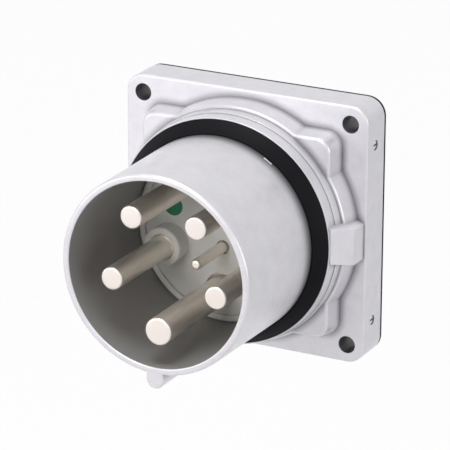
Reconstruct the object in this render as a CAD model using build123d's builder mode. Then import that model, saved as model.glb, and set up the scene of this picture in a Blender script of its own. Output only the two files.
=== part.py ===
from build123d import *

import os
from math import atan2, cos, degrees, hypot, radians, sin

# Panel-mounted appliance inlet with five contact pins and a pilot pin, in millimetres.
# The origin is the centre of the gasket's panel face. The shroud points along -Y, the
# terminals along +Y, and +Z is up. A station is a distance in front of the panel face.

# Shroud and its key rib
shroud_bore_r = 40.0
shroud_wall = 3.0
shroud_taper = 0.9
shroud_length = 80.5
shroud_rim_r = 1.2
key_width = 7.9
key_stand = 6.4
key_gap = 1.5
nib_angle = 57.0
nib_size = 1.2

# Boss that stands on the flange
boss_height = 10.0
boss_margin = 2.6
boss_square_setback = 11.5
boss_square_corner_r = 6.5
boss_draft = 8.0
boss_edge_r = 1.4
boss_wall = 4.0

# Collar and the seal's seat
seal_width = 5.4
collar_step_rise = 4.5
seal_seat_rise = 0.3
lip_depth = 5.5
lip_wall = 0.6
lip_flare = 0.3
collar_step_width = 0.4
collar_flare = 0.4

# Face seal
seal_clearance = 0.1
seal_depth = 10.7
seal_dome = 0.6

# Locking lugs
lug_height = 15.6
lug_stand = 5.0
lug_end_drop = 0.4
lug_lean = 2.2
lug_root = 4.0

# Flange and gasket
flange_margin = 3.4
flange_depth = 16.2
flange_corner_r = 8.0
flange_edge_r = 1.0
flange_plate = 5.0
skirt_wall = 4.0
mounting_edge = 8.0
mounting_hole_r = 3.8
mounting_post_r = 7.5
gasket_thickness = 1.6
gasket_inset = 0.1
gasket_margin = 5.5

# Side set screws
side_screw_edge = 18.0
side_screw_setback = 7.8
side_screw_r = 2.0
side_screw_length = 6.0
side_screw_recess = 0.4
side_hole_clearance = 0.15
side_pad_r = 4.6
side_pad_depth = 4.0

# Contact carrier
carrier_face_height = 21.8
carrier_clearance = 0.3
carrier_edge_r = 1.1
carrier_seat_depth = 3.0
rim_inset = 1.3
rim_width = 2.0
rim_height = 0.7
rim_groove_width = 0.8
rim_groove_depth = 0.8
plate_clearance = 2.5
plate_thickness = 5.0
plate_corner_r = 6.0
o_ring_section_r = 1.3
o_ring_gland = 3.4
o_ring_setback = 5.0
o_ring_clearance = 0.05

# Contact pins
pin_circle_r = 25.3
pin_step = 72.0
earth_angle = -90.0
pin_r = 5.0
earth_pin_r = 6.0
pin_clearance = 0.15
shank_margin = 0.4
pin_end_height = 73.2
earth_pin_lead = 4.4
pin_end_r = 0.9
earth_recess_room = 1.3
earth_recess_depth = 3.0
collar_room = 1.1
collar_wall = 2.5
collar_stand = 8.2
collar_recess_depth = 3.0
pilot_x = 0.9
pilot_z = -6.1
pilot_pin_r = 2.4
pilot_end_height = 47.0
pilot_recess_room = 0.7
pilot_recess_depth = 2.0
pilot_tip_share = 0.6
pilot_dimple_r = 0.5
pilot_dimple_depth = 0.5

# Screw terminals behind the pins
cable_bore_r = 6.25
cable_bore_depth = 38.0
barrel_wall = 3.25
barrel_length = 44.0
barrel_edge = 0.6
shoulder_width = 1.0
shoulder_length = 8.0
clamp_screw_r = 4.0
clamp_screw_length = 8.0
clamp_screw_hex = 4.0
clamp_screw_socket = 4.0
clamp_screw_setback = 12.0
clamp_screw_step = 13.0
pilot_bore_r = 1.7
pilot_bore_depth = 22.0
pilot_barrel_wall = 2.5
pilot_barrel_length = 30.0
pilot_screw_r = 1.5
pilot_screw_length = 3.4
pilot_screw_setback = 8.0

# Contact retainer and terminal divider
retainer_margin = 0.5
retainer_thickness = 5.0
retainer_edge = 1.0
chamber_clearance = 0.25
rib_thickness = 3.0
rib_inset = 1.0
rib_lead = 3.0
hub_wall = 2.25
hub_clearance = 0.05
channel_width = 4.4
channel_wall = 2.0
retainer_screw_edge = 4.5
retainer_screw_angles = (28.0, 152.0, 244.0)
retainer_screw_r = 2.0
retainer_screw_head_r = 3.6
retainer_screw_head_length = 3.0
retainer_screw_bite = 7.0

# Screws that hold the carrier in the housing
carrier_screw_edge = 6.0
carrier_screw_r = 2.5
carrier_screw_head_r = 4.25
carrier_screw_head_length = 5.0
carrier_screw_hex = 4.0
carrier_screw_socket = 2.6
carrier_screw_bite = 8.0
carrier_post_r = 5.6
thread_clearance = 0.1
shank_clearance = 0.3
hole_end_room = 1.5
screw_edge = 0.6
slot_width = 0.8
slot_depth = 0.9

# Earth bond strap
strap_thickness = 1.0
strap_width = 8.0
strap_ring_width = 3.0
strap_end_r = 5.0
strap_clearance = 0.15

# Inspection sticker
sticker_x = -22.7
sticker_z = 8.5
sticker_r = 4.35
sticker_thickness = 0.15

# Radii that build up from the shroud's bore, and the flange round them
shroud_mouth_r = shroud_bore_r + shroud_wall
shroud_base_r = shroud_mouth_r + shroud_taper
seal_seat_r = shroud_base_r + seal_width
collar_lip_r = seal_seat_r + lip_wall
collar_lip_foot_r = collar_lip_r + lip_flare
collar_step_r = collar_lip_foot_r + collar_step_width
collar_foot_r = collar_step_r + collar_flare
lug_reach = collar_foot_r + lug_stand
boss_round_r = collar_foot_r + boss_margin
flange_side = 2 * (boss_round_r + flange_margin)
boss_square = flange_side - 2 * boss_square_setback
mounting_spacing = flange_side - 2 * mounting_edge
side_screw_spacing = flange_side - 2 * side_screw_edge

# Heights above the flange's face
collar_step_height = boss_height + collar_step_rise
seal_seat_height = collar_step_height + seal_seat_rise
collar_lip_height = seal_seat_height + lip_depth
seal_inner_height = seal_seat_height + seal_depth
lug_end_height = boss_height - lug_end_drop
earth_pin_end_height = pin_end_height + earth_pin_lead

# Stations
flange_rear = gasket_thickness
flange_face = flange_rear + flange_depth
boss_face = flange_face + boss_height
mouth = flange_face + shroud_length
seal_seat = flange_face + seal_seat_height
seal_front = flange_face + seal_inner_height
key_rear = seal_front + key_gap
carrier_seat = flange_face - carrier_seat_depth
carrier_rear = carrier_seat - plate_thickness
carrier_face = flange_face + carrier_face_height
collar_floor = carrier_face - collar_recess_depth
earth_recess_floor = carrier_face - earth_recess_depth
pilot_recess_floor = carrier_face - pilot_recess_depth
barrel_front = carrier_rear + shoulder_length
barrel_rear = carrier_rear - barrel_length
divider_rear = barrel_rear - rib_lead
retainer_rear = carrier_rear - retainer_thickness
skirt_roof = flange_face - flange_plate
boss_roof = boss_face - boss_wall
collar_root = boss_face - boss_wall / 2
pilot_rear = barrel_front - pilot_barrel_length
pilot_screw_station = pilot_rear + pilot_screw_setback
channel_floor = pilot_screw_station + channel_width / 2
clamp_stations = (
    barrel_rear + clamp_screw_setback,
    barrel_rear + clamp_screw_setback + clamp_screw_step,
)

# Angles of the pins around the shroud's axis
phase_1_angle = earth_angle + pin_step
phase_2_angle = phase_1_angle + pin_step
phase_3_angle = phase_2_angle + pin_step
neutral_angle = phase_3_angle + pin_step
rib_angle = phase_1_angle + pin_step / 2

# Fits that follow from the sizes above
carrier_r = shroud_bore_r - carrier_clearance
rim_outer_r = carrier_r - rim_inset
rim_inner_r = rim_outer_r - rim_width
skirt_inner = flange_side - 2 * skirt_wall
pocket_side = boss_square - 2 * boss_wall
plate_side = pocket_side - 2 * plate_clearance
carrier_screw_spacing = plate_side - 2 * carrier_screw_edge
shroud_slope = shroud_taper / (mouth - seal_seat)
key_centre_z = key_width / 2 - shroud_mouth_r - key_stand
key_root_z = -(shroud_bore_r + shroud_mouth_r) / 2
side_hole_r = side_screw_r + side_hole_clearance
o_ring_r = shroud_bore_r - o_ring_clearance - o_ring_section_r
gland_r = o_ring_r - o_ring_section_r - o_ring_clearance
earth_recess_r = earth_pin_r + earth_recess_room
collar_inner_r = pin_r + collar_room
collar_outer_r = collar_inner_r + collar_wall
pilot_recess_r = pilot_pin_r + pilot_recess_room
barrel_r = cable_bore_r + barrel_wall
shoulder_r = barrel_r + shoulder_width
pilot_barrel_r = pilot_bore_r + pilot_barrel_wall
pilot_chamber_r = pilot_barrel_r + chamber_clearance
hub_r = pilot_chamber_r + hub_wall
retainer_r = shroud_bore_r + retainer_margin
retainer_ring_r = retainer_r - retainer_screw_edge
rib_reach = retainer_r - rib_inset
gasket_opening_r = retainer_r + gasket_margin
strap_screw = (carrier_screw_spacing / 2, -carrier_screw_spacing / 2)


def plane_at(station):
    """Plane across the inlet's axis at a station, which looks out of the shroud's mouth."""
    return Plane.XZ.offset(station)


def shroud_r_at(station):
    """Outer radius of the tapered shroud at a station."""
    return shroud_mouth_r + shroud_slope * (mouth - station)


def on_pitch(angle):
    """X and Z of a pin on the pitch circle."""
    return pin_circle_r * cos(radians(angle)), pin_circle_r * sin(radians(angle))


def radial_plane(place, angle, station):
    """Plane through an axis parallel to the inlet's, which looks outwards at an angle."""
    outwards = (cos(radians(angle)), 0, sin(radians(angle)))
    return Plane(origin=(place[0], -station, place[1]), x_dir=(0, 1, 0), z_dir=outwards)


def side_plane(side, distance):
    """Plane on the right, 1, or left, -1, of the flange at the side screws, which looks outwards."""
    station = flange_face - side_screw_setback
    return Plane(origin=(side * distance, -station, 0), x_dir=(0, side, 0), z_dir=(side, 0, 0))


def strap_outline(margin):
    """Draws the earth bond strap's outline, grown by a margin, in the sketch that is open."""
    start_x, start_z = on_pitch(earth_angle)
    run_x = strap_screw[0] - start_x
    run_z = strap_screw[1] - start_z
    middle = (start_x + run_x / 2, start_z + run_z / 2)
    with Locations((start_x, start_z)):
        Circle(shoulder_r + strap_ring_width + margin)
    with Locations(strap_screw):
        Circle(strap_end_r + margin)
    with Locations(Location(middle, degrees(atan2(run_z, run_x)))):
        Rectangle(hypot(run_x, run_z), strap_width + 2 * margin)


def export(part, name):
    """Labels a finished piece and writes it."""
    part.label = name
    export_step(part, f"parts/{name}.step")


def front_edges(builder):
    """Edges that bound the piece's foremost flat face."""
    return builder.faces().sort_by(Axis.Y)[0].edges()


# The pilot's screw is reached through a channel between the earth barrel and that of phase pin 1
gap_x = (on_pitch(earth_angle)[0] + on_pitch(phase_1_angle)[0]) / 2
gap_z = (on_pitch(earth_angle)[1] + on_pitch(phase_1_angle)[1]) / 2
pilot_screw_angle = degrees(atan2(gap_z - pilot_z, gap_x - pilot_x))
channel_length = rib_reach - hypot(pilot_x, pilot_z)

os.makedirs("parts", exist_ok=True)

# Front housing
with BuildPart() as front_housing:
    with BuildSketch(plane_at(flange_rear)):
        RectangleRounded(flange_side, flange_side, flange_corner_r)
    extrude(amount=flange_depth)
    fillet(front_edges(front_housing), flange_edge_r)

    # The boss is a drafted disc and a drafted square in one
    with BuildSketch(plane_at(flange_face)):
        Circle(boss_round_r)
    extrude(amount=boss_height, taper=boss_draft)
    with BuildSketch(plane_at(flange_face)):
        RectangleRounded(boss_square, boss_square, boss_square_corner_r)
    extrude(amount=boss_height, taper=boss_draft)
    fillet(front_edges(front_housing), boss_edge_r)

    # The flange and the boss are hollow behind
    with BuildSketch(plane_at(flange_rear)):
        RectangleRounded(skirt_inner, skirt_inner, flange_corner_r - skirt_wall)
    extrude(amount=skirt_roof - flange_rear, mode=Mode.SUBTRACT)
    with BuildSketch(plane_at(skirt_roof)):
        Circle(boss_round_r - boss_wall)
    extrude(amount=boss_roof - skirt_roof, taper=boss_draft, mode=Mode.SUBTRACT)
    with BuildSketch(plane_at(skirt_roof)):
        RectangleRounded(pocket_side, pocket_side, boss_square_corner_r - boss_edge_r)
    extrude(amount=boss_roof - skirt_roof, taper=boss_draft, mode=Mode.SUBTRACT)
    with BuildSketch(plane_at(boss_roof)):
        Circle(shroud_bore_r)
    extrude(amount=boss_wall, mode=Mode.SUBTRACT)

    # Locking lugs, whose flanks lean and whose front slopes back from the collar's lip
    with BuildSketch(plane_at(flange_face)):
        with PolarLocations(0, 2):
            Polygon(
                (collar_foot_r, lug_height / 2 + lug_lean / 2),
                (lug_reach, lug_height / 2 - lug_lean / 2),
                (lug_reach, -lug_height / 2 - lug_lean / 2),
                (collar_foot_r, -lug_height / 2 + lug_lean / 2),
                (seal_seat_r - lug_root, -lug_height / 2 + lug_lean / 2),
                (seal_seat_r - lug_root, lug_height / 2 + lug_lean / 2),
                align=None,
            )
    extrude(amount=collar_lip_height)
    with BuildSketch(Plane.XY):
        with BuildLine():
            Polyline(
                (collar_lip_r, -(flange_face + collar_lip_height)),
                (lug_reach, -(flange_face + lug_end_height)),
                (lug_reach + lug_root, -(flange_face + lug_end_height)),
                (lug_reach + lug_root, -mouth),
                (collar_lip_r, -mouth),
                close=True,
            )
        make_face()
        mirror(about=Plane.YZ)
    extrude(amount=lug_height, both=True, mode=Mode.SUBTRACT)
    with BuildSketch(plane_at(seal_seat)):
        Circle(seal_seat_r)
    extrude(amount=collar_lip_height, mode=Mode.SUBTRACT)

    # Collar and shroud in section, from the bore at the carrier's seat round to the tube's outside
    with BuildSketch(Plane.XY):
        with BuildLine():
            Polyline(
                (shroud_bore_r, -carrier_seat),
                (shroud_bore_r, -mouth),
                (shroud_mouth_r, -mouth),
                (shroud_base_r, -seal_seat),
                (seal_seat_r, -seal_seat),
                (seal_seat_r, -(flange_face + collar_lip_height)),
                (collar_lip_r, -(flange_face + collar_lip_height)),
                (collar_lip_foot_r, -(flange_face + collar_step_height)),
                (collar_step_r, -(flange_face + collar_step_height)),
                (collar_foot_r, -boss_face),
                (collar_foot_r, -collar_root),
                (shroud_base_r, -collar_root),
                (shroud_base_r, -carrier_seat),
                close=True,
            )
        make_face()
    revolve(axis=Axis.Y)
    rim_edges = front_edges(front_housing).sort_by(SortBy.RADIUS)
    fillet(rim_edges[-1], shroud_rim_r)
    fillet(front_edges(front_housing).sort_by(SortBy.RADIUS)[0], shroud_rim_r / 2)

    # Key rib under the shroud, and the nib at the seal's edge
    with BuildSketch(plane_at(key_rear)):
        with Locations((0, key_centre_z)):
            Circle(key_width / 2)
        with Locations((0, (key_centre_z + key_root_z) / 2)):
            Rectangle(key_width, key_root_z - key_centre_z)
    extrude(amount=mouth - key_rear)
    with BuildSketch(plane_at(seal_front + seal_clearance)):
        with PolarLocations(shroud_base_r, 1, start_angle=nib_angle):
            Circle(nib_size / 2)
    extrude(amount=nib_size)

    # Posts for the carrier's screws and for the panel's bolts, and pads behind the side screws
    with BuildSketch(plane_at(carrier_seat)):
        with GridLocations(carrier_screw_spacing, carrier_screw_spacing, 2, 2):
            Circle(carrier_post_r)
    extrude(amount=boss_face - boss_wall / 2 - carrier_seat)
    with BuildSketch(plane_at(flange_rear)):
        with GridLocations(mounting_spacing, mounting_spacing, 2, 2):
            Circle(mounting_post_r)
    extrude(amount=flange_depth - flange_plate / 2)
    for side in (1, -1):
        with BuildSketch(side_plane(side, skirt_inner / 2 - side_pad_depth)):
            with GridLocations(0, side_screw_spacing, 1, 2):
                Circle(side_pad_r)
        extrude(amount=side_pad_depth + skirt_wall / 2)
        with BuildSketch(side_plane(side, flange_side / 2)):
            with GridLocations(0, side_screw_spacing, 1, 2):
                Circle(side_hole_r)
        extrude(amount=-(skirt_wall + side_pad_depth + hole_end_room), mode=Mode.SUBTRACT)

    # Holes for the panel's bolts and threads for the carrier's screws
    with BuildSketch(plane_at(flange_rear)):
        with GridLocations(mounting_spacing, mounting_spacing, 2, 2):
            Circle(mounting_hole_r)
    extrude(amount=flange_depth, mode=Mode.SUBTRACT)
    with BuildSketch(plane_at(carrier_seat)):
        with GridLocations(carrier_screw_spacing, carrier_screw_spacing, 2, 2):
            Circle(carrier_screw_r + thread_clearance)
    extrude(amount=carrier_screw_bite + hole_end_room, mode=Mode.SUBTRACT)
export(front_housing.part, "front_housing")

# Panel gasket
with BuildPart() as panel_gasket:
    with BuildSketch(plane_at(0)):
        gasket_side = flange_side - 2 * gasket_inset
        RectangleRounded(gasket_side, gasket_side, flange_corner_r - gasket_inset)
        Circle(gasket_opening_r, mode=Mode.SUBTRACT)
        with GridLocations(mounting_spacing, mounting_spacing, 2, 2):
            Circle(mounting_hole_r, mode=Mode.SUBTRACT)
    extrude(amount=gasket_thickness)
export(panel_gasket.part, "panel_gasket")

# Face seal, a rubber ring whose domed face leans up to the shroud
with BuildPart() as face_seal:
    with BuildSketch(Plane.XY):
        outer_r = seal_seat_r - seal_clearance
        inner_front_r = shroud_r_at(seal_front) + seal_clearance
        inner_rear_r = shroud_base_r + seal_clearance
        lip_station = flange_face + collar_lip_height
        with BuildLine():
            Polyline(
                (inner_front_r, -seal_front),
                (inner_rear_r, -(seal_seat + seal_clearance)),
                (outer_r, -(seal_seat + seal_clearance)),
                (outer_r, -lip_station),
            )
            SagittaArc((outer_r, -lip_station), (inner_front_r, -seal_front), -seal_dome)
        make_face()
    revolve(axis=Axis.Y)
export(face_seal.part, "face_seal")

# Contact carrier, a disc in the shroud's bore with a screwed plate behind it
with BuildPart() as contact_carrier:
    with BuildSketch(plane_at(carrier_seat)):
        Circle(carrier_r)
    extrude(amount=carrier_face - carrier_seat)
    fillet(front_edges(contact_carrier), carrier_edge_r)
    with BuildSketch(plane_at(carrier_seat)):
        RectangleRounded(plate_side, plate_side, plate_corner_r)
    extrude(amount=-plate_thickness)

    # Rim round the face, the groove inside it, and the gland for the O-ring
    with BuildSketch(plane_at(carrier_face)):
        Circle(rim_outer_r)
        Circle(rim_inner_r, mode=Mode.SUBTRACT)
    extrude(amount=rim_height)
    with BuildSketch(plane_at(carrier_face)):
        Circle(rim_inner_r)
        Circle(rim_inner_r - rim_groove_width, mode=Mode.SUBTRACT)
    extrude(amount=-rim_groove_depth, mode=Mode.SUBTRACT)
    with BuildSketch(plane_at(carrier_seat + o_ring_setback)):
        Circle(carrier_r)
        Circle(gland_r, mode=Mode.SUBTRACT)
    extrude(amount=o_ring_gland, mode=Mode.SUBTRACT)

    # Insulating collar round the neutral pin
    with BuildSketch(plane_at(carrier_face)):
        with Locations(on_pitch(neutral_angle)):
            Circle(collar_outer_r)
    extrude(amount=collar_stand)
    fillet(front_edges(contact_carrier), (collar_outer_r - collar_inner_r) / 4)
    with BuildSketch(plane_at(collar_floor)):
        with Locations(on_pitch(neutral_angle)):
            Circle(collar_inner_r)
    extrude(amount=collar_stand + collar_recess_depth, mode=Mode.SUBTRACT)

    # Recesses round the earth and pilot pins, and the pins' bores
    with BuildSketch(plane_at(earth_recess_floor)):
        with Locations(on_pitch(earth_angle)):
            Circle(earth_recess_r)
    extrude(amount=earth_recess_depth, mode=Mode.SUBTRACT)
    with BuildSketch(plane_at(pilot_recess_floor)):
        with Locations((pilot_x, pilot_z)):
            Circle(pilot_recess_r)
    extrude(amount=pilot_recess_depth, mode=Mode.SUBTRACT)
    with BuildSketch(plane_at(carrier_rear)):
        with PolarLocations(pin_circle_r, 4, start_angle=phase_1_angle, angular_range=4 * pin_step):
            Circle(pin_r + shank_margin + pin_clearance)
        with Locations(on_pitch(earth_angle)):
            Circle(earth_pin_r + shank_margin + pin_clearance)
        with Locations((pilot_x, pilot_z)):
            Circle(pilot_pin_r + shank_margin + pin_clearance)
    extrude(amount=carrier_face - carrier_rear, mode=Mode.SUBTRACT)

    # Seats for the barrels, for the strap and for the screws, from behind
    with BuildSketch(plane_at(carrier_rear)):
        with PolarLocations(pin_circle_r, 5, start_angle=earth_angle):
            Circle(shoulder_r + chamber_clearance)
        with Locations((pilot_x, pilot_z)):
            Circle(pilot_chamber_r)
    extrude(amount=shoulder_length, mode=Mode.SUBTRACT)
    with BuildSketch(plane_at(carrier_rear)):
        strap_outline(strap_clearance)
    extrude(amount=strap_thickness, mode=Mode.SUBTRACT)
    with BuildSketch(plane_at(carrier_rear)):
        with GridLocations(carrier_screw_spacing, carrier_screw_spacing, 2, 2):
            Circle(carrier_screw_r + shank_clearance)
    extrude(amount=plate_thickness, mode=Mode.SUBTRACT)
    with BuildSketch(plane_at(carrier_rear)):
        for angle in retainer_screw_angles:
            with PolarLocations(retainer_ring_r, 1, start_angle=angle):
                Circle(retainer_screw_r + thread_clearance)
    extrude(amount=retainer_screw_bite + hole_end_room, mode=Mode.SUBTRACT)
export(contact_carrier.part, "contact_carrier")

# O-ring that seals the carrier in the bore
with BuildPart() as carrier_o_ring:
    with BuildSketch(Plane.XY):
        with Locations((o_ring_r, -(carrier_seat + o_ring_setback + o_ring_gland / 2))):
            Circle(o_ring_section_r)
    revolve(axis=Axis.Y)
export(carrier_o_ring.part, "carrier_o_ring")

# Contact retainer, which traps the contacts' shoulders in the carrier
with BuildPart() as contact_retainer:
    with BuildSketch(plane_at(retainer_rear)):
        Circle(retainer_r)
        with PolarLocations(pin_circle_r, 5, start_angle=earth_angle):
            Circle(barrel_r + chamber_clearance, mode=Mode.SUBTRACT)
        with Locations((pilot_x, pilot_z)):
            Circle(hub_r + hub_clearance, mode=Mode.SUBTRACT)
        for angle in retainer_screw_angles:
            with PolarLocations(retainer_ring_r, 1, start_angle=angle):
                Circle(retainer_screw_r + shank_clearance, mode=Mode.SUBTRACT)
    extrude(amount=retainer_thickness)
    rim = contact_retainer.edges().filter_by(GeomType.CIRCLE).group_by(Axis.Y)[-1].sort_by(SortBy.RADIUS)[-1]
    chamfer(rim, retainer_edge)
export(contact_retainer.part, "contact_retainer")

# Terminal divider: ribs that part the terminals, and a hub that is pressed into the retainer
with BuildPart() as terminal_divider:
    with BuildSketch(plane_at(divider_rear)):
        with PolarLocations(rib_reach / 2, 4, start_angle=rib_angle, angular_range=4 * pin_step):
            Rectangle(rib_reach, rib_thickness)
        with Locations(Location((pilot_x, pilot_z), pilot_screw_angle)):
            with Locations((channel_length / 2, 0)):
                Rectangle(channel_length, channel_width + 2 * channel_wall)
    extrude(amount=retainer_rear - divider_rear)
    with BuildSketch(plane_at(divider_rear)):
        with Locations((pilot_x, pilot_z)):
            Circle(hub_r)
    extrude(amount=carrier_rear - divider_rear)

    # The pilot's chamber and the channel to its screw
    with BuildSketch(plane_at(divider_rear)):
        with Locations((pilot_x, pilot_z)):
            Circle(pilot_chamber_r)
    extrude(amount=carrier_rear - divider_rear, mode=Mode.SUBTRACT)
    with BuildSketch(plane_at(divider_rear)):
        with Locations(Location((pilot_x, pilot_z), pilot_screw_angle)):
            with Locations((channel_length, 0)):
                Rectangle(2 * channel_length, channel_width)
    extrude(amount=channel_floor - divider_rear, mode=Mode.SUBTRACT)
export(terminal_divider.part, "terminal_divider")


def contact_pin(angle, radius, root, end_height):
    """Turned contact: the pin, its shank in the carrier, its shoulder, and a barrel for the cable."""
    with BuildPart() as contact:
        with BuildSketch(plane_at(barrel_rear)):
            with Locations(on_pitch(angle)):
                Circle(barrel_r)
        extrude(amount=barrel_length)
        chamfer(contact.edges().filter_by(GeomType.CIRCLE).group_by(Axis.Y)[-1], barrel_edge)
        with BuildSketch(plane_at(carrier_rear)):
            with Locations(on_pitch(angle)):
                Circle(shoulder_r)
        extrude(amount=shoulder_length)
        with BuildSketch(plane_at(barrel_front)):
            with Locations(on_pitch(angle)):
                Circle(radius + shank_margin)
        extrude(amount=root - barrel_front)
        with BuildSketch(plane_at(root)):
            with Locations(on_pitch(angle)):
                Circle(radius)
        extrude(amount=flange_face + end_height - root)
        fillet(front_edges(contact), pin_end_r)
        with BuildSketch(plane_at(barrel_rear)):
            with Locations(on_pitch(angle)):
                Circle(cable_bore_r)
        extrude(amount=cable_bore_depth, mode=Mode.SUBTRACT)
        for station in clamp_stations:
            with BuildSketch(radial_plane(on_pitch(angle), angle, station)):
                Circle(clamp_screw_r + thread_clearance)
            extrude(amount=2 * barrel_r, mode=Mode.SUBTRACT)
    return contact.part


def clamp_screws(angle):
    """Socket set screws of one terminal, backed off to the wall of the cable bore."""
    with BuildPart() as screws:
        for station in clamp_stations:
            base = radial_plane(on_pitch(angle), angle, station)
            with BuildSketch(base.offset(cable_bore_r + thread_clearance)):
                Circle(clamp_screw_r)
            extrude(amount=clamp_screw_length)
        chamfer(screws.edges().filter_by(GeomType.CIRCLE), clamp_screw_r / 8)
        for station in clamp_stations:
            base = radial_plane(on_pitch(angle), angle, station)
            with BuildSketch(base.offset(cable_bore_r + thread_clearance + clamp_screw_length)):
                RegularPolygon(clamp_screw_hex / 2, 6, major_radius=False)
            extrude(amount=-clamp_screw_socket, mode=Mode.SUBTRACT)
    return screws.part


# Contact pins and their clamp screws
export(contact_pin(phase_1_angle, pin_r, carrier_face, pin_end_height), "phase_pin_1")
export(contact_pin(phase_2_angle, pin_r, carrier_face, pin_end_height), "phase_pin_2")
export(contact_pin(phase_3_angle, pin_r, carrier_face, pin_end_height), "phase_pin_3")
export(contact_pin(neutral_angle, pin_r, collar_floor, pin_end_height), "neutral_pin")
export(contact_pin(earth_angle, earth_pin_r, earth_recess_floor, earth_pin_end_height), "earth_pin")
export(clamp_screws(phase_1_angle), "phase_1_clamp_screws")
export(clamp_screws(phase_2_angle), "phase_2_clamp_screws")
export(clamp_screws(phase_3_angle), "phase_3_clamp_screws")
export(clamp_screws(neutral_angle), "neutral_clamp_screws")
export(clamp_screws(earth_angle), "earth_clamp_screws")

# Pilot pin with a domed tip
with BuildPart() as pilot_pin:
    with BuildSketch(plane_at(pilot_rear)):
        with Locations((pilot_x, pilot_z)):
            Circle(pilot_barrel_r)
    extrude(amount=pilot_barrel_length)
    with BuildSketch(plane_at(barrel_front)):
        with Locations((pilot_x, pilot_z)):
            Circle(pilot_pin_r + shank_margin)
    extrude(amount=pilot_recess_floor - barrel_front)
    with BuildSketch(plane_at(pilot_recess_floor)):
        with Locations((pilot_x, pilot_z)):
            Circle(pilot_pin_r)
    extrude(amount=flange_face + pilot_end_height - pilot_recess_floor)
    fillet(front_edges(pilot_pin), pilot_pin_r * pilot_tip_share)
    with BuildSketch(plane_at(flange_face + pilot_end_height)):
        with Locations((pilot_x, pilot_z)):
            Circle(pilot_dimple_r)
    extrude(amount=-pilot_dimple_depth, mode=Mode.SUBTRACT)
    with BuildSketch(plane_at(pilot_rear)):
        with Locations((pilot_x, pilot_z)):
            Circle(pilot_bore_r)
    extrude(amount=pilot_bore_depth, mode=Mode.SUBTRACT)
    with BuildSketch(radial_plane((pilot_x, pilot_z), pilot_screw_angle, pilot_screw_station)):
        Circle(pilot_screw_r + thread_clearance)
    extrude(amount=2 * pilot_barrel_r, mode=Mode.SUBTRACT)
export(pilot_pin.part, "pilot_pin")

# Pilot terminal's set screw
with BuildPart() as pilot_clamp_screw:
    pilot_screw_base = radial_plane((pilot_x, pilot_z), pilot_screw_angle, pilot_screw_station)
    with BuildSketch(pilot_screw_base.offset(pilot_bore_r + thread_clearance)):
        Circle(pilot_screw_r)
    extrude(amount=pilot_screw_length)
    with BuildSketch(pilot_screw_base.offset(pilot_bore_r + thread_clearance + pilot_screw_length)):
        Rectangle(2 * pilot_screw_r, slot_width)
    extrude(amount=-slot_depth, mode=Mode.SUBTRACT)
export(pilot_clamp_screw.part, "pilot_clamp_screw")

# Socket cap screws that hold the carrier in the housing
with BuildPart() as carrier_screws:
    with BuildSketch(plane_at(carrier_rear)):
        with GridLocations(carrier_screw_spacing, carrier_screw_spacing, 2, 2):
            Circle(carrier_screw_head_r)
    extrude(amount=-carrier_screw_head_length)
    chamfer(carrier_screws.edges().filter_by(GeomType.CIRCLE).group_by(Axis.Y)[-1], screw_edge)
    with BuildSketch(plane_at(carrier_rear - carrier_screw_head_length)):
        with GridLocations(carrier_screw_spacing, carrier_screw_spacing, 2, 2):
            RegularPolygon(carrier_screw_hex / 2, 6, major_radius=False)
    extrude(amount=carrier_screw_socket, mode=Mode.SUBTRACT)
    with BuildSketch(plane_at(carrier_rear)):
        with GridLocations(carrier_screw_spacing, carrier_screw_spacing, 2, 2):
            Circle(carrier_screw_r)
    extrude(amount=plate_thickness + carrier_screw_bite)
export(carrier_screws.part, "carrier_screws")

# Slotted screws that hold the contact retainer on the carrier
with BuildPart() as retainer_screws:
    for angle in retainer_screw_angles:
        with BuildSketch(plane_at(retainer_rear)):
            with PolarLocations(retainer_ring_r, 1, start_angle=angle):
                Circle(retainer_screw_head_r)
        extrude(amount=-retainer_screw_head_length)
    chamfer(retainer_screws.edges().filter_by(GeomType.CIRCLE).group_by(Axis.Y)[-1], screw_edge)
    for angle in retainer_screw_angles:
        with BuildSketch(plane_at(retainer_rear - retainer_screw_head_length)):
            with PolarLocations(retainer_ring_r, 1, start_angle=angle):
                Rectangle(2 * retainer_screw_head_r, slot_width)
        extrude(amount=slot_depth, mode=Mode.SUBTRACT)
        with BuildSketch(plane_at(retainer_rear)):
            with PolarLocations(retainer_ring_r, 1, start_angle=angle):
                Circle(retainer_screw_r)
        extrude(amount=retainer_thickness + retainer_screw_bite)
export(retainer_screws.part, "retainer_screws")

# Earth bond strap, in its recess behind the carrier's plate
with BuildPart() as earth_bond_strap:
    with BuildSketch(plane_at(carrier_rear)):
        strap_outline(0)
        with Locations(on_pitch(earth_angle)):
            Circle(shoulder_r + thread_clearance, mode=Mode.SUBTRACT)
        with Locations(strap_screw):
            Circle(carrier_screw_r + shank_clearance, mode=Mode.SUBTRACT)
    extrude(amount=strap_thickness)
export(earth_bond_strap.part, "earth_bond_strap")

# Slotted set screws in the flange's sides
with BuildPart() as side_screws:
    for side in (1, -1):
        outer_end = flange_side / 2 - side_screw_recess
        with BuildSketch(side_plane(side, outer_end)):
            with GridLocations(0, side_screw_spacing, 1, 2):
                Circle(side_screw_r)
        extrude(amount=-side_screw_length)
        with BuildSketch(side_plane(side, outer_end)):
            with GridLocations(0, side_screw_spacing, 1, 2):
                Rectangle(slot_width, 2 * side_screw_r)
        extrude(amount=-slot_depth, mode=Mode.SUBTRACT)
export(side_screws.part, "side_screws")

# Round sticker on the carrier's face
with BuildPart() as inspection_sticker:
    with BuildSketch(plane_at(carrier_face)):
        with Locations((sticker_x, sticker_z)):
            Circle(sticker_r)
    extrude(amount=sticker_thickness)
export(inspection_sticker.part, "inspection_sticker")
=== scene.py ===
from math import cos, hypot, pi, radians, sin, tan

import bmesh
import bpy
from mathutils import Matrix, Vector


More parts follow.
